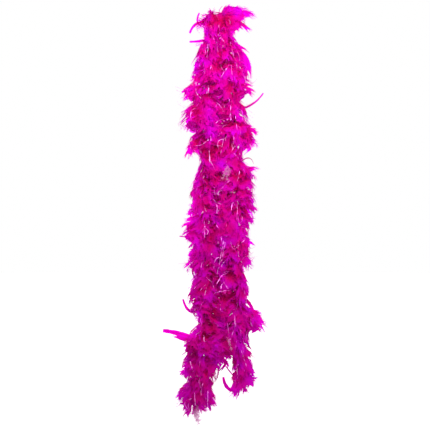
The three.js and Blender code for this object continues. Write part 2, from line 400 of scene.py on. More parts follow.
def add_down(feather, count, first, last, reach, thickness):
    """Loose fluffy barbs near the quill."""
    for _ in range(count):
        side = rng.choice((-1, 1))
        root = rng.uniform(first, last)
        length = reach * rng.uniform(0.55, 1.0)
        angle = math.radians(rng.uniform(38, 96))
        bend = rng.normal(0, 0.9)
        lift = rng.normal(0, 0.35)
        t = np.linspace(0, 1, 5)
        heading = angle - bend * t
        du = np.cumsum(np.cos(heading)) * length / 5
        dy = np.cumsum(np.sin(heading)) * length / 5
        wave = 0.05 * length * np.sin(t * rng.uniform(4, 8) + rng.uniform(0, 6))
        feather.ribbon(
            root + du - du[0], side * (dy - dy[0]), lift * length * t + wave,
            thickness * (1.05 - t) ** 0.7, rng.uniform(-0.8, 0.8),
            0.25 + 0.5 * t, rng.uniform(-1, 1),
        )


VANE_ROWS = np.array([0.0, 0.25, 0.5, 0.68, 0.82])  # from the shaft to where barbs part


def add_vane(feather, side, width, barbs, begin, splits, tip_angle, hairs):
    """One side's flat: a sheet ribbed by its barbs, which part into pointed locks."""
    index = np.arange(barbs)
    partings = np.sort(rng.choice(np.arange(2, barbs - 2), splits, replace=False))
    edges = np.r_[0, partings + 1, barbs]
    lock = np.searchsorted(partings, index, side="left")
    middle = (edges[lock] + edges[lock + 1] - 1) / 2
    half = (edges[lock + 1] - edges[lock]) / 2
    v = index / (barbs - 1)
    off = (index - middle) / half
    swell = np.interp(v, (0, 0.2, 0.55, 0.85, 1), (0.55, 0.92, 1.0, 0.78, 0.45))
    length = width * swell * (1 - 0.18 * off**2) * rng.uniform(0.86, 1.1, barbs)
    length *= 1 + 0.12 * rng.standard_normal(splits + 1)[lock]
    angle = math.radians(64) - math.radians(64 - tip_angle) * v**0.8
    angle += 0.16 * off + 0.10 * rng.standard_normal(splits + 1)[lock]
    t = VANE_ROWS[None, :]
    heading = angle[:, None] + math.radians(14) - math.radians(36) * t
    step = np.diff(VANE_ROWS, prepend=0)[None, :] * length[:, None]
    u = begin + (v * (1 - begin))[:, None] + np.cumsum(step * np.cos(heading), axis=1)
    y = np.cumsum(step * np.sin(heading), axis=1)
    slope = 0.07 * rng.standard_normal(splits + 1)[lock][:, None]
    ribs = 0.0025 * (-1.0) ** index[:, None] * np.sin(np.pi * np.minimum(t, 0.9))
    z = slope * y * t + ribs
    thin = 0.15 + 0.42 * v[:, None] + 0.43 * t
    feather.grid(u, side * y, z, thin, 0.5 * rng.standard_normal(splits + 1)[lock][:, None],
                 closed=set(partings))
    add_hairs(feather, side, u, y, z, heading, hairs)


def add_hairs(feather, side, u, y, z, heading, count):
    """Fine single barbs that stand past a vane's edge and make it soft."""
    barb = rng.integers(0, len(u), count)
    row = rng.integers(3, len(VANE_ROWS), count)
    way = heading[barb, row] + 0.24 * rng.standard_normal(count) - 0.1
    reach = rng.uniform(0.06, 0.20, count)
    lift = 0.25 * rng.standard_normal(count)
    thick = 0.0055
    for k in range(count):
        at = barb[k], row[k]
        along = np.array([[0.0, reach[k]], [0.0, reach[k]]])
        off = thick * np.array([[-1.0, -0.15], [1.0, 0.15]])
        feather.grid(
            u[at] + along * math.cos(way[k]) - off * math.sin(way[k]),
            side * (y[at] + along * math.sin(way[k]) + off * math.cos(way[k])),
            z[at] + along * lift[k], 0.75 + 0.25 * along / reach[k], 0.4,
        )


def make_broad():
    """A broad soft flat feather with a fluffy base."""
    feather = FlatFeather()
    add_shaft(feather, 0.008)
    add_down(feather, 10, 0.06, 0.36, 0.26, 0.0055)
    for side in (-1, 1):
        add_vane(
            feather, side, rng.uniform(0.38, 0.50), 15, rng.uniform(0.10, 0.18),
            int(rng.integers(1, 3)), rng.uniform(22, 42), 50,
        )
    return feather.finished()


def make_plume():
    """A longer, narrower feather whose barbs stand apart."""
    feather = FlatFeather()
    add_shaft(feather, 0.007)
    add_down(feather, 14, 0.06, 0.5, 0.24, 0.005)
    for side in (-1, 1):
        add_vane(feather, side, rng.uniform(0.18, 0.26), 14, 0.3, 4, rng.uniform(10, 20), 34)
    return feather.finished()


def make_fluff():
    """A plume of loose barbs with no flat vane."""
    feather = FlatFeather()
    add_shaft(feather, 0.006)
    add_down(feather, 44, 0.10, 0.98, 0.32, 0.0045)
    return feather.finished()


def make_tuft():
    """A dense tuft of down, as wide as it is long."""
    feather = FlatFeather()
    add_shaft(feather, 0.008)
    add_down(feather, 64, 0.04, 0.98, 0.30, 0.010)
    return feather.finished()


def make_spike():
    """A slim, stiff feather with its vane trimmed close and a blunt tip."""
    feather = FlatFeather()
    add_shaft(feather, 0.012, 1.1)
    u = np.linspace(0.02, 1.2, 14)
    v = (u - u[0]) / (u[-1] - u[0])
    half = 0.036 * (1 - np.abs(1.55 * v - 0.85) ** 2.6) + 0.003 * rng.standard_normal(len(u))
    across = np.linspace(-1, 1, 5)[:, None]
    half = np.maximum(half, 0.004)
    feather.grid(
        np.broadcast_to(u, (5, len(u))), across * half, 0.4 * half * (1 - np.abs(across)),
        0.25 + 0.4 * np.abs(across) + 0.2 * v, 0.3,
    )
    return feather.finished()


def make_under():
    """A short wide feather of the undergrowth."""
    feather = FlatFeather()
    for side in (-1, 1):
        add_vane(feather, side, rng.uniform(0.42, 0.54), 9, 0.10, 1, 30, 12)
    return feather.finished()


BROAD = [make_broad() for _ in range(BROAD_VARIANTS)]
PLUMES = [make_plume() for _ in range(4)]
FLUFF = [make_fluff() for _ in range(4)]
SPIKES = [make_spike() for _ in range(3)]
UNDER = [make_under() for _ in range(6)]


# ---------------------------------------------------------------- feathers, laid on the boa


class Line:
    """A feather's shaft in space, and the directions across it and out of its face."""

    SAMPLES = 20
    BEYOND = 1.25  # barbs at the tip reach past the end of the shaft

    def __init__(self, points, face, roll, twist):
        self.t = np.linspace(0, self.BEYOND, len(points))
        self.points = np.array(points)
        tangents = unit_rows(np.gradient(self.points, axis=0))
        side = unit_rows(np.cross(tangents, face))
        out = np.cross(side, tangents)
        angle = (roll + twist * self.t)[:, None]
        self.side = np.cos(angle) * side + np.sin(angle) * out
        self.out = np.cos(angle) * out - np.sin(angle) * side

    def at(self, u, rows):
        return np.stack([np.interp(u, self.t, rows[:, k]) for k in range(3)], axis=-1)

    def place(self, flat, length, cup, width=1.0):
        """The flat feather's points, laid along this line."""
        y = (flat.y * length * width)[:, None]
        z = ((flat.z - cup * flat.y**2 * 4) * length)[:, None]
        return self.at(flat.u, self.points) + y * self.at(flat.u, self.side) + z * self.at(
            flat.u, self.out
        )


def lay_feather(
    pile, flat, root, ahead, radial, length, lifts, drift, roll, twist, cup, tone, loose
):
    """Lays one feather whose shaft leaves the core at root and curves from lifts[0] to lifts[1].

    A lift is the angle between the shaft and the core's own direction, ahead. drift turns the
    shaft sideways by its tip.
    """
    side = np.cross(ahead, radial)
    t = np.linspace(0, Line.BEYOND, Line.SAMPLES)
    lift = lifts[0] + (lifts[1] - lifts[0]) * np.minimum(t, 1) ** 0.9
    turn = drift * t
    outward = np.cos(turn)[:, None] * radial + np.sin(turn)[:, None] * side
    heading = np.cos(lift)[:, None] * ahead + np.sin(lift)[:, None] * outward
    step = length * Line.BEYOND / (Line.SAMPLES - 1)
    points = root + np.vstack([np.zeros(3), np.cumsum(heading[:-1] * step, axis=0)])
    face = unit(radial * math.cos(lifts[1]) - ahead * math.sin(lifts[1]) + 1e-3)
    line = Line(points, face, roll, twist)
    placed = line.place(flat, length, cup)
    # deep: how far a point stands from the feather's root; the feather material paints points nearer
    # the core darker crimson as painted shade.
    deep = np.clip(np.linalg.norm(placed - root, axis=1) / PLAIN_REACH, 0, 1)
    shade = np.clip(tone + SHADE_SPREAD * flat.shade, 0, 1)
    pile.add(placed, flat.quads, np.c_[flat.thin, deep, shade, 0 * shade], loose)


SHADE_SPREAD = 0.12  # how much a feather's own shade moves its tone
PLAIN_REACH = 43 * MM  # how far the fluff stands from the core where nothing else is said
SOFT_FROM = 0.85  # of that, the share past which points are drawn in
LOOSENESS = (0.1, 0.85)  # the share left of what reaches past that, from feather to feather
FLUFF_LOOSENESS = (0.7, 1.3)
RAGGED = 30 * MM  # how far up or down a feather reads the outline, for its looseness
DEPTH_REACH = 52 * MM  # the most that the fluff stands to the front or the back
FOLD_SPREAD = 0.62  # how far round the core the fold's feathers go, so that the hook stays free
TINSEL_DEPTH = 72 * MM  # the same for the tinsel
# The fluff's upper and lower edges, seen from the front: (distance from the middle, height).
FLUFF_TOP = [(-60, -12), (-40, -3), (-20, 8), (6, 14), (20, 22), (50, 20), (70, 10), (90, -4)]
FLUFF_BOTTOM = [
    (-105, -908), (-84, -932), (-64, -928), (-48, -944), (-12, -936), (4, -922), (30, -902),
    (48, -878), (88, -864),
]
TOP_LEFT = 0.18  # the share left of what stands above the top edge
BOTTOM_LEFT = 0.5  # and of what hangs below the bottom edge
STRETCH = (0.35, 1.9)  # the least and most that a run's fluff is scaled sideways


def edge_of(outline, heights):
    """How far from the middle plane an outline stands at some heights."""
    points = np.array(outline)[::-1] * MM
    return np.interp(heights, points[:, 0], points[:, 1])


def core_x(run, heights):
    """How far from the middle plane a run's core hangs at some heights."""
    points = np.array(RUNS[run])[::-1] * MM
    return np.interp(heights, points[:, 2], points[:, 0])


def shape_fluff(section, pile, depth_reach=DEPTH_REACH):
    """Draws both sides of a run in or out to their outlines, and the fluff's other edges in."""
    points = np.vstack(pile.points)
    loose = np.concatenate(pile.loose)
    top = np.array(FLUFF_TOP) * MM
    height = np.minimum(points[:, 2], np.interp(points[:, 0], top[:, 0], top[:, 1]))
    points[:, 2] = height + TOP_LEFT * (points[:, 2] - height)
    bottom = np.array(FLUFF_BOTTOM) * MM
    height = np.maximum(height, np.interp(points[:, 0], bottom[:, 0], bottom[:, 1]))
    points[:, 2] = np.maximum(points[:, 2], height + BOTTOM_LEFT * (points[:, 2] - height))
    middle = core_x(section.run, height)
    height = height + (loose - np.mean(LOOSENESS)) * RAGGED
    outward = (points[:, 0] - middle) * TOWARDS[section.run]
    outer = np.abs(edge_of(OUTLINE[section.run], height) - middle) / PLAIN_REACH
    inner = np.abs(edge_of(INNER_OUTLINE[section.run], height) - middle) / PLAIN_REACH
    scale = np.clip(np.where(outward > 0, outer, inner), *STRETCH)
    edge = SOFT_FROM * PLAIN_REACH
    beyond = np.maximum(np.abs(outward) - edge, 0)
    outward = np.sign(outward) * (np.minimum(np.abs(outward), edge) + loose * beyond)
    points[:, 0] = middle + TOWARDS[section.run] * outward * scale
    depth = points[:, 1]
    points[:, 1] = depth_reach * np.tanh(depth / depth_reach)
    pile.points = [points]


def fill_section(section, pile, spacing, kinds, shares, lengths, first_lifts, last_lifts):
    """Lays feathers all round the section's stretch of core, of each kind its share.

    The lifts are ranges in degrees, of the angle at which a shaft leaves the core and of the one
    that it has by its tip.
    """
    on_fold = section.above == "fold" and section.below is None
    down = section.start
    while down < section.end:
        down += spacing * rng.uniform(0.5, 1.5)
        root = core_at(section.run, down)
        ahead, outer, front = axes_at(section.run, down)
        azimuth = rng.uniform(-math.pi, math.pi)
        if on_fold:
            azimuth *= FOLD_SPREAD
        radial = math.cos(azimuth) * outer + math.sin(azimuth) * front
        kind = kinds[rng.choice(len(kinds), p=shares)]
        flat = kind[rng.integers(len(kind))]
        lay_feather(
            pile, flat, root, ahead, radial, rng.uniform(*lengths),
            (math.radians(rng.uniform(*first_lifts)), math.radians(rng.uniform(*last_lifts))),
            drift=rng.normal(0, 0.35),
            roll=rng.choice((-1, 1)) * math.radians(rng.uniform(4, 40)),
            twist=rng.normal(0, 0.3), cup=rng.uniform(-0.1, 0.3),
            tone=rng.uniform(0.1, 0.9),
            loose=rng.uniform(*(FLUFF_LOOSENESS if kind is FLUFF else LOOSENESS)),
        )


# ---------------------------------------------------------------- materials


class Nodes:
    """A short way to write a node tree."""

    def __init__(self, owner):
        owner.use_nodes = True
        self.owner = owner
        self.tree = owner.node_tree
        self.tree.nodes.clear()

    def add(self, kind, sockets=None, **settings):
        """A node with these settings and these inputs, each a value or another node's output."""
        node = self.tree.nodes.new(kind)
        for key, value in settings.items():
            setattr(node, key, value)
        for socket, value in (sockets or {}).items():
            if isinstance(value, bpy.types.NodeSocket):
                self.tree.links.new(value, node.inputs[socket])
            else:
                node.inputs[socket].default_value = value
        return node

    def math(self, operation, a, b, clamp=False):
        settings = {"operation": operation, "use_clamp": clamp}
        return self.add("ShaderNodeMath", {0: a, 1: b}, **settings).outputs[0]

    def mix(self, factor, a, b):
        return self.add("ShaderNodeMix", {0: factor, 6: a, 7: b}, data_type="RGBA").outputs[2]

    def noise(self, scale, detail=3.0):
        place = self.add("ShaderNodeTexCoord").outputs["Object"]
        sockets = {"Vector": place, "Scale": scale, "Detail": detail}
        return self.add("ShaderNodeTexNoise", sockets).outputs[0]

    def ramp(self, factor, *stops):
        """Colours between stops, each (place, colour)."""
        node = self.add("ShaderNodeValToRGB", {0: factor})
        elements = node.color_ramp.elements
        for element, (place, colour) in zip(elements, (stops[0], stops[-1])):
            element.position = place
            element.color = colour
        for place, colour in stops[1:-1]:
            elements.new(place).color = colour
        return node.outputs[0]

    def bump(self, strength, distance, height):
        sockets = {"Strength": strength, "Distance": distance, "Height": height}
        return self.add("ShaderNodeBump", sockets).outputs[0]

    def principled(self, **sockets):
        """Inputs by name, with _ for a space."""
        named = {key.replace("_", " "): value for key, value in sockets.items()}
        return self.add("ShaderNodeBsdfPrincipled", named).outputs[0]

    def finish(self, shader, kind="Material"):
        self.add(f"ShaderNodeOutput{kind}", {"Surface": shader})
        return self.owner


def feather_material():
    """Dyed feather: crimson in the depths as painted shade, hot pink on the flats, magenta at the thin
    edges partly as painted glow of light through them.
    """
    n = Nodes(bpy.data.materials.new("dyed_feather_painted_shade"))
    look = n.add("ShaderNodeAttribute", attribute_name="look")
    pale = look.outputs["Alpha"]
    thin, deep, tone = n.add("ShaderNodeSeparateColor", {0: look.outputs["Color"]}).outputs
    patches = n.noise(30.0, 1.6)
    # thin: crimson at the quill, where the dye is deepest, to magenta at the barb ends, partly a
    # painted glow of light through thin barbs.
    outer = n.math("MULTIPLY", thin, 0.26)
    # deep: the nearer a point lies to the core, the darker crimson it is painted, a painted shade of
    # the fluff's inside.
    outer = n.math("ADD", outer, n.math("MULTIPLY", deep, 0.44))
    outer = n.math("ADD", outer, n.math("MULTIPLY", patches, 1.75))
    outer = n.math("ADD", outer, n.math("MULTIPLY", tone, 0.24))
    outer = n.math("ADD", outer, -1.155, clamp=True)
    # The ramp runs from the dye's crimson to magenta, and its darkest stop is painted shade.
    dye_and_painted_shade = n.ramp(
        outer, (0.0, (0.52, 0.0, 0.06, 1)), (0.10, (0.80, 0.0, 0.09, 1)),
        (0.40, (0.96, 0.0, 0.44, 1)), (0.85, (0.93, 0.0, 1.0, 1)),
    )
    face = n.principled(
        Base_Color=n.mix(pale, dye_and_painted_shade, (0.97, 0.56, 0.83, 1)),
        Roughness=n.math("ADD", n.math("MULTIPLY", patches, 0.2), 0.6),
        Specular_IOR_Level=0.06, Sheen_Weight=0.12, Sheen_Roughness=0.5,
        Sheen_Tint=(1.0, 0.1, 0.8, 1), Normal=n.bump(0.25, 0.3 * MM, n.noise(900.0, 2.0)),
    )
    through = n.mix(pale, n.mix(0.82, dye_and_painted_shade, (0.96, 0.0, 1.0, 1)), (1.0, 0.68, 0.91, 1))
    glow = n.add("ShaderNodeBsdfTranslucent", {"Color": through}).outputs[0]
    return n.finish(n.add("ShaderNodeMixShader", {0: 0.62, 1: face, 2: glow}).outputs[0])


def tinsel_material():
    """Metallised film: pink silver that shifts along a strand."""
    n = Nodes(bpy.data.materials.new("tinsel_film"))
    shift = n.noise(60.0, 1.0)
    film = n.principled(
        Base_Color=n.ramp(shift, (0.35, (1.0, 0.14, 0.90, 1)), (0.65, (1.0, 0.42, 1.0, 1))),
        Metallic=1.0, Roughness=n.math("ADD", n.math("MULTIPLY", shift, 0.2), 0.38),
        Normal=n.bump(0.35, 0.4 * MM, n.noise(420.0, 2.0)),
    )
    return n.finish(film)


def yarn_material(name, dark, light, scale):
    """Dyed yarn, mottled by its fibres."""
    n = Nodes(bpy.data.materials.new(name))
    fibres = n.noise(scale, 4.0)
    yarn = n.principled(
        Base_Color=n.mix(fibres, dark, light),
        Roughness=n.math("ADD", n.math("MULTIPLY", fibres, 0.2), 0.7),
        Specular_IOR_Level=0.2, Sheen_Weight=0.3, Normal=n.bump(0.6, 0.2 * MM, fibres),
    )
    return n.finish(yarn)


FEATHER = feather_material()
TINSEL = tinsel_material()
CORD = yarn_material("core_yarn", (0.30, 0.0, 0.12, 1), (0.62, 0.02, 0.34, 1), 700.0)
THREAD = yarn_material("stitch_yarn", (0.50, 0.0, 0.26, 1), (0.80, 0.05, 0.52, 1), 1500.0)


# ---------------------------------------------------------------- core cord, thread and knots

PLY_OFFSET = CORD_DIAMETER * 0.24
PLY_RADIUS = CORD_DIAMETER * 0.27
CORE_STEP = 2 * MM
KNOT_SIZE = 2.3 * MM
TAIL_LENGTH = 34 * MM
TAIL_FIBRES = 26


def stretch_of_core(first, last):
    """The core's centre line between two lengths along it, in order, at about even steps."""
    count = max(8, int(abs(last - first) / CORE_STEP))
    along = np.linspace(first, last, count)
    return along, core_along(along)


def round_the_line(line, turn, radius):
    """A line that winds round another, at a given turn for each of its points."""
    tangents = unit_rows(np.gradient(line, axis=0))
    first = unit_rows(np.cross(tangents, (0, 1, 0)))
    second = np.cross(tangents, first)
    return line + radius * (np.cos(turn)[:, None] * first + np.sin(turn)[:, None] * second)


def mesh_of_tubes(name, tubes, material):
    """One mesh of closed tubes, each given as (line, radii, sides)."""
    points, faces = [], []
    for line, radii, sides in tubes:
        at = sum(len(p) for p in points)
        ring_points, quads = tube_points(line, radii, sides)
        points.append(ring_points)
        faces += [tuple(q) for q in (quads + at).tolist()]
        faces.append(tuple(range(at + sides - 1, at - 1, -1)))
        faces.append(tuple(range(at + len(ring_points) - sides, at + len(ring_points))))
    mesh = bpy.data.meshes.new(name)
    mesh.from_pydata(np.vstack(points).tolist(), [], faces)
    for polygon in mesh.polygons:
        polygon.use_smooth = len(polygon.vertices) == 4
    mesh.materials.append(material)
    return new_object(name, mesh)


def make_cord(name, first, last, far_end, with_pieces=()):
    """A stretch of the three-ply core."""
    along, line = stretch_of_core(first, last)
    tubes = []
    for ply in range(PLIES):
        turn = 2 * math.pi * (along / PLY_PITCH + ply / PLIES)
        strand = round_the_line(line, turn, PLY_OFFSET)
        tubes.append((strand, np.full(len(line), PLY_RADIUS), 8))
    piece = mesh_of_tubes(name, tubes, CORD)
    return piece


def make_thread(name, first, last):
    """Stitching thread wound round the core, over the quills."""
    step = THREAD_PITCH / 10
    along = np.arange(min(first, last), max(first, last), step)
    turn = -2 * math.pi * along / THREAD_PITCH
    winding = round_the_line(core_along(along), turn, CORD_DIAMETER / 2 + THREAD_RADIUS)
    tubes = [(winding, np.full(len(winding), THREAD_RADIUS), 5)]
    piece = mesh_of_tubes(name, tubes, THREAD)
    return piece


def overhand_knot():
    """An overhand knot's line that comes in from above and leaves downwards at its side."""
    cut = math.pi / 3
    t = np.linspace(cut + 0.12, cut + 2 * math.pi - 0.12, 44)
    knot = np.stack([
        np.sin(t) + 2 * np.sin(2 * t),
        np.cos(t) - 2 * np.cos(2 * t),
        -np.sin(3 * t),
    ], axis=-1)
    start = np.array([3 * math.sin(cut), 3 * math.cos(cut), 0.0])
    inward = -unit(start)
    heading = unit(knot[1] - knot[0])
    upward = np.cross(inward, heading)
    frame_axes = np.stack([inward, upward, -heading], axis=-1)
    return KNOT_SIZE * (knot - start) @ frame_axes


def make_knot(run):
    """The knot at a run's end, and the frayed tail below it."""
    _, line = stretch_of_core(CROWN + TOWARDS[run] * RUN_LENGTH[run] * 0.99,
                              CROWN + TOWARDS[run] * RUN_LENGTH[run])
    end = line[-1]
    knot = overhand_knot()
    if knot[0, 2] < knot[-1, 2]:
        knot = knot[::-1]
    knot = end + knot * (TOWARDS[run], 1, 1) - (0, 0, 3 * MM)
    tail_top = knot[-1]
    drop = np.array([0.06 * TOWARDS[run], -0.05, -1.0])
    cord_line, _ = smooth_line([*line[-2:], *knot[1:-1:3], tail_top, tail_top + drop * 8 * MM])
    tubes = [(cord_line[::2], np.full(len(cord_line[::2]), CORD_DIAMETER * 0.46), 8)]
    fray = tail_top + drop * 7 * MM
    for _ in range(TAIL_FIBRES):
        t = np.linspace(0, 1, 9)[:, None]
        spread = rng.normal(0, 0.16, 3) * (1, 1, 0.3)
        start = fray + rng.normal(0, 0.7 * MM, 3) * (1, 1, 0)
        curl = rng.normal(0, 1.0 * MM, 3) * np.sin(t * rng.uniform(3, 7)) * t
        fibre = start + t * (drop + spread) * (TAIL_LENGTH - 8 * MM) * rng.uniform(0.6, 1) + curl
        tubes.append((fibre, 0.35 * MM * (1.05 - t[:, 0]), 5))
    piece = mesh_of_tubes(f"knot_{run}", tubes, CORD)
    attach(piece, SECTIONS[-1].above.replace("right", run))
    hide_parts(f"end_knot_{run}")
    return piece


def make_core():
    """The core cord, its thread and its knots, section by section."""
    knots = {run: make_knot(run) for run in RUNS}
    fold_ends = [CROWN - FOLD_HALF, CROWN + FOLD_HALF]
    cord = make_cord("core_cord_crown", *fold_ends, "object")
    thread = make_thread("thread_crown", *fold_ends)
    for piece, node in ((cord, "core_cord_fold"), (thread, "stitch_thread_fold")):
        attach(piece, "fold")
        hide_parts(node)
    for section in SECTIONS:
        if section.start == 0:
            continue
        first = CROWN + TOWARDS[section.run] * section.start
        last = CROWN + TOWARDS[section.run] * section.end
        at_end = section.below is None
        cord = make_cord(
            f"core_cord_run_{section.name}", first, last, "knot" if at_end else "object",
            (knots[section.run],) if at_end else (),
        )
        thread = make_thread(f"thread_{section.name}", first, last)
        section.attach(cord)
        section.attach(thread)
        if not at_end:
            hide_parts(f"core_cord_{section.below}")
            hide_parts(f"stitch_thread_{section.below}")


make_core()


# ---------------------------------------------------------------- making the feathers


def make_feathers():
    """Makes every section's fluff, and returns all its points."""
    fluff = []
    for section in SECTIONS:
        pile = Pile()
        fill_section(
            section, pile, UNDER_SPACING, (UNDER,), (1.0,), UNDER_LENGTH, (60, 105), (30, 75)
        )
        fill_section(
            section, pile, FEATHER_SPACING, (BROAD, PLUMES, FLUFF, SPIKES),
            (0.68, 0.12, 0.17, 0.03), FEATHER_LENGTH, (55, 100), (5, 62),
        )
        shape_fluff(section, pile)
        piece = pile.make(f"feathers_{section.name}", FEATHER)
        section.attach(piece)
        if section.below is not None:
            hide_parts(f"feather_sleeve_{section.below}")
        elif section.above == "fold":
            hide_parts(f"feather_tuft_fold_{section.run}", "feather_tuft_fold_top")
        fluff += pile.points
    return np.vstack(fluff)


fluff_points = make_feathers()
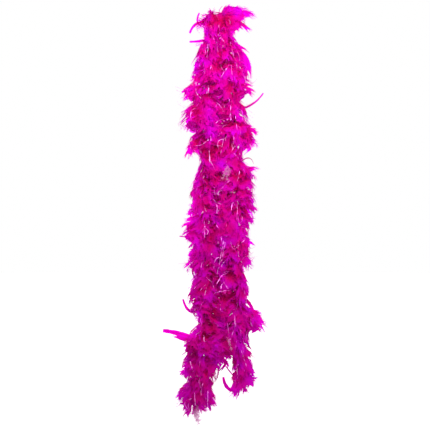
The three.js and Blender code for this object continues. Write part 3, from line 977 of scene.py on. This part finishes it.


# ---------------------------------------------------------------- feathers set one by one
#
# Most of them give the boa its outline. The others cover thin places or are tufts of down. Each is
# (run, kind, base, middle, tip, width), in millimetres, and width stretches the feather across.

OUTLINE_FEATHERS = [
    # the puff over the hook
    ("left", "broad", (-14, -8, -10), (-34, -14, -10), (-53, -12, -18), 0.7),
    ("left", "broad", (-15, -10, -4), (-28, -16, 4), (-42, -12, 4), 0.7),
    ("left", "broad", (-10, -8, 0), (-16, -16, 10), (-26, -12, 18), 0.7),
    ("left", "broad", (-14, -8, -14), (-24, -20, -24), (-26, -20, -46), 0.6),
    ("left", "spike", (-30, -14, -12), (-54, -16, -18), (-68, -14, -41), 2.0),
    ("left", "spike", (-36, -14, -24), (-49, -16, -10), (-43, -14, 12), 2.2),
    ("left", "spike", (-16, -12, -50), (-44, -14, -57), (-70, -12, -58), 1.8),
    ("left", "plume", (-16, -12, -52), (-38, -14, -58), (-56, -12, -66), 0.5),
    ("left", "broad", (-24, -12, -8), (-42, -16, -12), (-60, -12, -20), 0.5),
    ("left", "broad", (-22, -12, -6), (-38, -14, -4), (-50, -12, 2), 0.5),
    ("left", "plume", (-24, -12, -12), (-38, -14, -14), (-54, -12, -28), 0.7),
    ("left", "broad", (-6, -10, 4), (-12, -26, -8), (-12, -28, -38), 1.0),
    ("left", "broad", (-12, -8, -8), (-22, -24, -22), (-18, -28, -54), 1.0),
    ("right", "broad", (6, -10, -2), (18, -18, 18), (34, -16, 30), 0.9),
    ("right", "broad", (10, -12, -4), (34, -22, 12), (62, -18, 16), 1.0),
    ("right", "broad", (10, -14, -8), (38, -26, 0), (68, -20, -8), 1.1),
    ("right", "broad", (12, -12, -10), (36, -20, -12), (58, -16, -28), 1.1),
    ("right", "broad", (26, -10, 6), (62, -14, 13), (96, -10, 0), 0.35),
    ("right", "plume", (24, -10, 8), (60, -14, 16), (88, -10, 10), 0.7),
    ("right", "plume", (22, -10, 10), (50, -16, 20), (76, -12, 18), 0.8),
    ("right", "broad", (28, -12, -6), (54, -14, -13), (80, -12, -33), 0.5),
    ("left", "fluff", (-4, -4, 2), (-8, -8, 14), (-9, -6, 30), 0.9),
    ("left", "plume", (-6, -6, 2), (-14, -8, 12), (-22, -8, 26), 0.6),
    ("right", "fluff", (12, -4, 6), (22, -6, 20), (30, -6, 38), 0.8),
    ("right", "broad", (6, -10, 4), (12, -28, -10), (10, -30, -42), 1.0),
    ("right", "broad", (12, -8, -8), (24, -24, -24), (26, -26, -54), 1.0),
    ("right", "spike", (4, -8, 6), (4, -12, 18), (12, -10, 28), 0.9),
    ("left", "under", (-10, -6, 0), (-8, -22, 4), (-6, -28, -26), 1.3),
    ("right", "under", (8, -6, 0), (6, -24, 4), (6, -30, -28), 1.3),
    ("left", "under", (-16, -6, -16), (-12, -18, -20), (0, -20, -48), 1.2),
    ("right", "under", (16, -6, -16), (12, -18, -22), (2, -22, -50), 1.2),
    ("left", "under", (-14, -6, -22), (-10, -14, -10), (2, -18, 4), 1.4),
    ("right", "under", (14, -6, -24), (10, -12, -14), (0, -16, -2), 1.4),
    ("left", "under", (-12, -4, -2), (-8, -10, -12), (2, -14, -38), 1.5),
    ("left", "broad", (-8, -8, 4), (-1, -24, -2), (0, -30, -38), 1.2),
    ("right", "broad", (8, -8, 2), (3, -28, -8), (2, -32, -48), 1.1),
    # over thin places
    ("right", "broad", (32, -16, -156), (28, -40, -176), (26, -44, -208), 1.0),
    ("right", "broad", (38, -16, -264), (46, -34, -284), (50, -32, -320), 1.0),
    ("left", "broad", (-22, -16, -530), (-14, -36, -548), (-12, -34, -584), 1.0),
    # tufts of undyed down on the front
    ("right", "down", (24, -34, -354), (16, -50, -374), (6, -50, -400), 0.7),
    ("right", "down", (28, -34, -360), (24, -50, -376), (18, -50, -400), 0.7),
    ("right", "down", (20, -34, -760), (28, -49, -776), (32, -50, -800), 0.5),
    # down the left run
    ("left", "plume", (-30, -12, -150), (-62, -18, -164), (-86, -12, -172), 0.8),
    ("left", "broad", (-32, -14, -172), (-62, -20, -182), (-88, -14, -196), 0.5),
    ("left", "broad", (-34, -14, -205), (-60, -20, -214), (-80, -14, -232), 0.6),
    ("left", "spike", (-46, -14, -234), (-72, -16, -242), (-92, -12, -259), 1.0),
    ("left", "broad", (-34, -14, -296), (-60, -20, -306), (-76, -14, -338), 0.8),
    ("left", "broad", (-34, -14, -240), (-60, -18, -250), (-80, -12, -272), 0.6),
    ("left", "spike", (-42, -14, -518), (-68, -16, -524), (-94, -12, -522), 1.0),
    ("left", "broad", (-34, -14, -474), (-60, -20, -486), (-85, -14, -506), 0.9),
    ("left", "plume", (-34, -14, -560), (-58, -20, -574), (-76, -14, -598), 0.9),
    ("left", "spike", (-52, -14, -704), (-72, -16, -697), (-84, -12, -670), 2.8),
    ("left", "spike", (-42, -14, -770), (-94, -18, -754), (-134, -12, -748), 2.2),
    ("left", "plume", (-44, -14, -774), (-70, -20, -772), (-102, -14, -760), 0.8),
    ("left", "fluff", (-48, -16, -772), (-74, -20, -770), (-98, -16, -760), 0.8),
    ("left", "broad", (-58, -12, -776), (-84, -18, -766), (-112, -14, -752), 0.45),
    ("left", "broad", (-44, -14, -752), (-66, -20, -764), (-80, -14, -784), 0.6),
    ("left", "broad", (-48, -14, -872), (-76, -20, -888), (-101, -14, -916), 0.9),
    ("left", "broad", (-48, -14, -900), (-66, -20, -926), (-80, -14, -958), 0.9),
    ("left", "broad", (-46, -10, -886), (-44, -16, -920), (-34, -12, -948), 0.9),
    ("left", "broad", (-44, -10, -878), (-28, -16, -906), (-12, -12, -938), 0.8),
    ("left", "broad", (-44, -10, -872), (-24, -16, -890), (-6, -12, -918), 0.7),
    ("left", "broad", (-40, -10, -884), (-28, -16, -912), (-24, -12, -942), 0.9),
    ("left", "broad", (-36, -14, -826), (-22, -18, -844), (-6, -14, -872), 0.8),
    ("left", "broad", (-48, -10, -902), (-56, -16, -930), (-60, -12, -956), 0.5),
    ("left", "down", (-50, -18, -924), (-50, -20, -954), (-38, -16, -984), 1.2),
    ("left", "down", (-56, -18, -928), (-54, -20, -952), (-46, -16, -974), 1.0),
    ("left", "fluff", (-50, -12, -918), (-54, -14, -938), (-52, -12, -960), 0.8),
    ("left", "fluff", (-40, -12, -800), (-66, -18, -826), (-92, -12, -862), 1.2),
    ("left", "fluff", (-48, -12, -886), (-74, -18, -906), (-102, -12, -930), 1.3),
    ("left", "fluff", (-46, -12, -896), (-66, -18, -930), (-84, -12, -958), 1.2),
    ("left", "fluff", (-44, -12, -896), (-34, -18, -930), (-22, -12, -958), 1.3),
    ("left", "fluff", (-42, -12, -884), (-22, -18, -908), (-2, -12, -932), 1.3),
    # down the right run
    ("right", "broad", (30, -12, -60), (62, -18, -92), (75, -14, -148), 0.5),
    ("right", "broad", (44, -14, -156), (66, -18, -165), (88, -14, -186), 0.8),
    ("right", "spike", (44, -14, -222), (83, -16, -207), (110, -12, -178), 0.9),
    ("right", "plume", (44, -14, -216), (66, -16, -214), (90, -12, -200), 0.6),
    ("right", "broad", (44, -14, -246), (74, -20, -262), (98, -14, -275), 0.7),
    ("right", "broad", (46, -16, -264), (70, -22, -284), (75, -16, -318), 0.6),
    ("right", "broad", (46, -14, -372), (74, -18, -360), (102, -12, -360), 0.5),
    ("right", "spike", (48, -14, -352), (72, -16, -336), (86, -12, -352), 1.1),
    ("right", "broad", (46, -14, -438), (72, -18, -450), (94, -12, -466), 0.6),
    ("right", "broad", (46, -14, -560), (66, -20, -580), (78, -14, -606), 0.8),
    ("right", "spike", (58, -14, -664), (74, -18, -682), (85, -14, -701), 3.0),
    ("right", "broad", (50, -14, -690), (82, -20, -702), (108, -14, -706), 0.5),
    ("right", "broad", (50, -14, -692), (84, -20, -712), (119, -14, -752), 0.6),
    ("right", "broad", (50, -14, -704), (80, -20, -728), (108, -14, -752), 0.7),
    ("right", "plume", (52, -14, -836), (70, -20, -856), (86, -14, -887), 0.9),
    ("right", "broad", (52, -14, -842), (44, -20, -874), (30, -14, -910), 0.8),
    ("right", "fluff", (52, -12, -846), (72, -18, -868), (90, -12, -890), 1.3),
    ("right", "fluff", (50, -12, -856), (46, -18, -884), (34, -12, -912), 1.2),
    ("right", "fluff", (52, -12, -856), (60, -18, -882), (66, -12, -906), 1.3),
    ("right", "spike", (40, -14, -894), (20, -18, -880), (13, -14, -856), 3.0),
    ("right", "spike", (38, -14, -858), (26, -16, -842), (14, -14, -826), 1.6),
]
KINDS = {
    "broad": BROAD, "plume": PLUMES, "fluff": FLUFF, "spike": SPIKES, "under": UNDER,
    "down": [make_tuft() for _ in range(3)],
}
PALE = {"down": 0.95}  # how far the dye missed a kind
# Under-feathers and spikes get low tones, which the feather material paints darker crimson: painted
# shade in the pockets that the under-feathers fill, and on the spikes down to the darkest stop.
PAINTED_SHADE_TONE = {"under": 0.1, "spike": -0.6}  # of the kinds that show crimson


def lay_through(pile, flat, base, middle, tip, width, tone, pale):
    """Lays a feather on a curve through three points, with its face turned to the front."""
    base, middle, tip = (np.array(p) * MM for p in (base, middle, tip))
    pull = 2 * middle - (base + tip) / 2
    t = np.linspace(0, 1, Line.SAMPLES)[:, None]
    points = (1 - t) ** 2 * base + 2 * t * (1 - t) * pull + t**2 * tip
    length = np.linalg.norm(np.diff(points, axis=0), axis=1).sum() / Line.BEYOND
    front = math.copysign(1, middle[1])
    face = unit(np.array([0.1, front, 0.35]))
    line = Line(points, face, rng.normal(0, 0.25), rng.normal(0, 0.4))
    placed = line.place(flat, length, rng.uniform(0.05, 0.3), width)
    # deep: how far a point stands from the feather's base; the feather material paints points nearer it
    # darker crimson as painted shade.
    deep = np.clip(np.linalg.norm(placed - base, axis=1) / PLAIN_REACH, 0, 1)
    shade = tone + SHADE_SPREAD * flat.shade
    pile.add(placed, flat.quads, np.c_[flat.thin, deep, shade, np.full(len(shade), pale)])


def section_of(run, point):
    """The section whose stretch of core lies nearest to a point, given in millimetres."""
    down = distance_of(run, np.array(point) * MM)
    mine = [section for section in SECTIONS if section.run == run]
    return next((section for section in mine if section.start <= down < section.end), mine[-1])


def make_outline_feathers():
    """The listed feathers, and the same again behind, mirrored, for every kind but the spikes."""
    piles = {}
    for run, kind, *points, width in OUTLINE_FEATHERS:
        section = section_of(run, points[0])
        pile = piles.setdefault(section.name, (section, Pile()))[1]
        for mirror in (1, -1):
            bent = [(x, mirror * y, z) for x, y, z in points]
            flat = KINDS[kind][rng.integers(len(KINDS[kind]))]
            tone = PAINTED_SHADE_TONE.get(kind, rng.uniform(0.1, 0.9))
            lay_through(pile, flat, *bent, width, tone, PALE.get(kind, 0.0))
            if kind == "spike":
                break
    for name, (section, pile) in piles.items():
        piece = pile.make(f"outline_feathers_{name}", FEATHER)
        section.attach(piece)
        stray = f"stray_feather_{section.below or section.above}"
        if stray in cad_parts:
            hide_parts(stray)


make_outline_feathers()


# ---------------------------------------------------------------- tinsel

TINSEL_SPACING = 5.5 * MM
TINSEL_WIDTH = 0.7 * MM
TINSEL_REACH = 52 * MM
TINSEL_LENGTH = (50 * MM, 82 * MM)
TINSEL_LOOSENESS = 0.7


# Strands that lie on the front of the fluff, and on the back: (x, z) points in millimetres.
TINSEL_ON_TOP = [
    ((-5, 6), (2, -11)), ((2, -24), (4, -44)), ((-17, -47), (-9, -59)), ((6, -53), (19, -71)),
    ((-24, -69), (-26, -100)), ((29, -66), (38, -102)), ((-46, -98), (-43, -122)),
    ((26, -119), (17, -132), (7, -148)), ((-52, -158), (-50, -185), (-40, -197)),
    ((-22, -166), (-22, -195)), ((51, -122), (60, -142), (68, -162)), ((32, -205), (27, -241)),
    ((6, -212), (12, -228)), ((41, -240), (45, -271)), ((13, -294), (6, -328)),
    ((-22, -294), (-38, -306), (-54, -309)), ((-17, -346), (-5, -369)), ((31, -320), (49, -339)),
    ((51, -369), (45, -395)), ((28, -390), (10, -408), (-2, -423)), ((-31, -498), (-31, -526)),
    ((13, -532), (3, -589)), ((17, -536), (9, -580)), ((62, -531), (36, -551), (29, -534)),
    ((-28, -619), (-14, -631)), ((13, -630), (24, -646)), ((-13, -659), (4, -652), (25, -650)),
    ((-42, -650), (-30, -637)), ((5, -682), (7, -702)), ((22, -727), (26, -756), (31, -790)),
    ((43, -727), (29, -765)), ((55, -791), (67, -829)), ((-55, -890), (-53, -936)),
    ((-24, -886), (-24, -935)), ((-66, -818), (-58, -842)), ((44, -826), (48, -868)),
    ((-101, -168), (-80, -176)), ((-96, -203), (-76, -216)), ((66, -221), (86, -235)),
]
TOP_GAP = 7 * MM  # between the fluff's surface and the middle of such a strand
TOP_REACH = 8 * MM  # how far round a strand the fluff counts as under it
TOP_WIDTH = 0.75 * MM
SURFACE_SHARE = 0.99  # the share of the points under a strand that its surface leaves inside
ENDS_TUCKED = 0.08  # how much nearer the core a strand's ends lie than its middle


def add_strip(pile, line, face, width, turns):
    """A strip of film along a line, turned about it more or less from place to place."""
    steps = len(line)
    tangents = unit_rows(np.gradient(line, axis=0))
    across = unit_rows(np.cross(tangents, face))
    out = np.cross(across, tangents)
    spin = np.cumsum(rng.normal(0, turns, steps))
    spin = spin + rng.normal(0, 5 * turns) * np.linspace(0, 1, steps)
    edge = np.cos(spin)[:, None] * across + np.sin(spin)[:, None] * out
    points = np.concatenate([line - edge * width / 2, line + edge * width / 2])
    low = np.arange(steps - 1)
    quads = np.c_[low, low + steps, low + steps + 1, low + 1]
    looks = np.full((2 * steps, 4), rng.uniform(0, 1))
    pile.add(points, quads, looks, TINSEL_LOOSENESS)


def lay_strand(pile, root, ahead, radial, length):
    """A strand of film that leaves the core sideways, then hangs down outside the fluff."""
    steps = 22
    t = np.linspace(0, 1, steps)
    side = np.cross(ahead, radial)
    bend_at = TINSEL_REACH * rng.uniform(0.85, 1.1) / length
    turned = 1 / (1 + np.exp((bend_at - t) * 22))
    lift = math.radians(rng.uniform(62, 95)) * (1 - turned) + rng.normal(0.1, 0.6) * turned
    lift = lift + np.cumsum(rng.normal(0, 0.10, steps))
    turn = rng.normal(0, 0.35) + rng.normal(0, 0.5) * t + np.cumsum(rng.normal(0, 0.09, steps))
    outward = np.cos(turn)[:, None] * radial + np.sin(turn)[:, None] * side
    hanging = unit(ahead + np.array([0, 0, -0.3]))
    heading = np.cos(lift)[:, None] * hanging + np.sin(lift)[:, None] * outward
    line = root + np.vstack([np.zeros(3), np.cumsum(heading[:-1] * length / (steps - 1), axis=0)])
    add_strip(pile, line, radial, TINSEL_WIDTH, 0.5)


def fluff_depth(line, front):
    """How far the fluff under a line stands out to the front, or to the back."""
    low = line.min(axis=0) - TOP_REACH
    high = line.max(axis=0) + TOP_REACH
    under = ((fluff_points > low) & (fluff_points < high))[:, [0, 2]].all(axis=1)
    return np.quantile(front * fluff_points[under, 1], SURFACE_SHARE)


def lay_on_top(pile, points, front):
    """A crinkled strand that lies on the fluff, its ends tucked in."""
    knots = np.array([(x * MM, 0, z * MM) for x, z in points])
    line, along = smooth_line(knots, 2 * MM)
    share = along / along[-1]
    depth = fluff_depth(line, front) + TOP_GAP
    line[:, 1] = front * depth * (1 - ENDS_TUCKED + ENDS_TUCKED * np.sin(np.pi * share))
    line += rng.normal(0, 0.25 * MM, line.shape)
    add_strip(pile, line, np.array([0, front, 0.01]), TOP_WIDTH, 0.8)


def section_under(place):
    """The section of the run that a place on the front lies over."""
    run = "left" if place[0] < 0 else "right"
    return section_of(run, (core_x(run, place[1] * MM) / MM, 0, place[1]))


def make_tinsel():
    """Every section's tinsel: strands caught in the core, and those that lie on the fluff."""
    for section in SECTIONS:
        pile = Pile()
        down = section.start + TINSEL_SPACING / 2
        while down < section.end:
            root = core_at(section.run, down)
            ahead, outer, front = axes_at(section.run, down)
            azimuth = rng.uniform(-math.pi, math.pi)
            for half_turn in (0, 1):
                angle = azimuth + math.pi * half_turn + rng.normal(0, 0.5)
                if section.above == "fold" and section.below is None:
                    angle = rng.uniform(-2.2, 2.2)
                radial = math.cos(angle) * outer + math.sin(angle) * front
                lay_strand(pile, root, ahead, radial, rng.uniform(*TINSEL_LENGTH))
            down += TINSEL_SPACING * rng.uniform(0.5, 1.5)
        shape_fluff(section, pile, TINSEL_DEPTH)
        for strand in TINSEL_ON_TOP:
            if section_under(strand[0]) is section:
                lay_on_top(pile, strand, -1)
                lay_on_top(pile, strand, 1)
        piece = pile.make(f"tinsel_{section.name}", TINSEL)
        section.attach(piece)
        if section.below is not None:
            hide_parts(f"tinsel_strand_{section.below}")
        elif section.above == "fold" and section.run == "left":
            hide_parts("tinsel_strand_fold")


make_tinsel()


# ---------------------------------------------------------------- light and stage


SKY = 0.36  # light from straight above, as a share of the white background
GROUND = 0.16  # from straight below
BACK = 0.95  # and what the lit backdrop adds from behind
FLOOR_Z = -1.12  # below the hanging ends
FLOOR_RADIUS = 9.0
FLOOR_CORNERS = 64


def make_stage():
    angles = [2 * math.pi * k / FLOOR_CORNERS for k in range(FLOOR_CORNERS)]
    points = [(FLOOR_RADIUS * math.cos(a), FLOOR_RADIUS * math.sin(a), FLOOR_Z) for a in angles]
    mesh = bpy.data.meshes.new("studio_floor")
    mesh.from_pydata(points, [], [range(FLOOR_CORNERS)])
    n = Nodes(bpy.data.materials.new("pale_paper"))
    paper = n.principled(
        Base_Color=(0.92, 0.92, 0.92, 1), Roughness=0.9, Specular_IOR_Level=0.1,
        Emission_Color=(1, 1, 1, 1), Emission_Strength=0.8,
    )
    mesh.materials.append(n.finish(paper))
    floor = new_object("studio_floor", mesh)
    floor.visible_diffuse = False
    floor.visible_transmission = False


def area_light(name, place, target, size, power):
    data = bpy.data.lights.new(name, "AREA")
    data.shape = "SQUARE"
    data.size = size
    data.energy = power
    light = new_object(name, data)
    light.location = place
    direction = np.array(target) - np.array(place)
    yaw = math.atan2(direction[0], -direction[1])
    pitch = math.atan2(math.hypot(direction[0], direction[1]), -direction[2])
    light.rotation_euler = (pitch, 0, yaw + math.pi)


def make_lights():
    n = Nodes(bpy.data.worlds.new("studio"))
    way = n.add("ShaderNodeTexCoord").outputs["Generated"]
    _, behind, height = n.add("ShaderNodeSeparateXYZ", {0: way}).outputs
    ambient = {"From Min": -1.0, "To Min": GROUND, "To Max": SKY, "Value": height}
    ambient = n.add("ShaderNodeMapRange", ambient).outputs[0]
    backdrop = n.add("ShaderNodeMapRange", {"To Max": BACK, "Value": behind}).outputs[0]
    path = n.add("ShaderNodeLightPath").outputs
    seen = n.math("MAXIMUM", path["Is Camera Ray"], path["Is Glossy Ray"])
    strength = {"To Min": n.math("ADD", ambient, backdrop), "To Max": 1.0, "Value": seen}
    strength = n.add("ShaderNodeMapRange", strength).outputs[0]
    sky = n.add("ShaderNodeBackground", {"Color": (1, 1, 1, 1), "Strength": strength})
    bpy.context.scene.world = n.finish(sky.outputs[0], "World")
    area_light("key", (0.12, -0.60, 0.03), (0, 0, -0.10), 0.4, 4.9)
    area_light("rim", (-0.12, 0.60, 0.03), (0, 0, -0.10), 0.4, 5.2)
    area_light("low_key", (0.38, -0.60, -0.50), (0, 0, -0.82), 0.2, 1.4)
    area_light("low_rim", (-0.38, 0.60, -0.50), (0, 0, -0.82), 0.2, 1.4)


make_stage()
make_lights()
bpy.context.scene.view_settings.view_transform = "Standard"
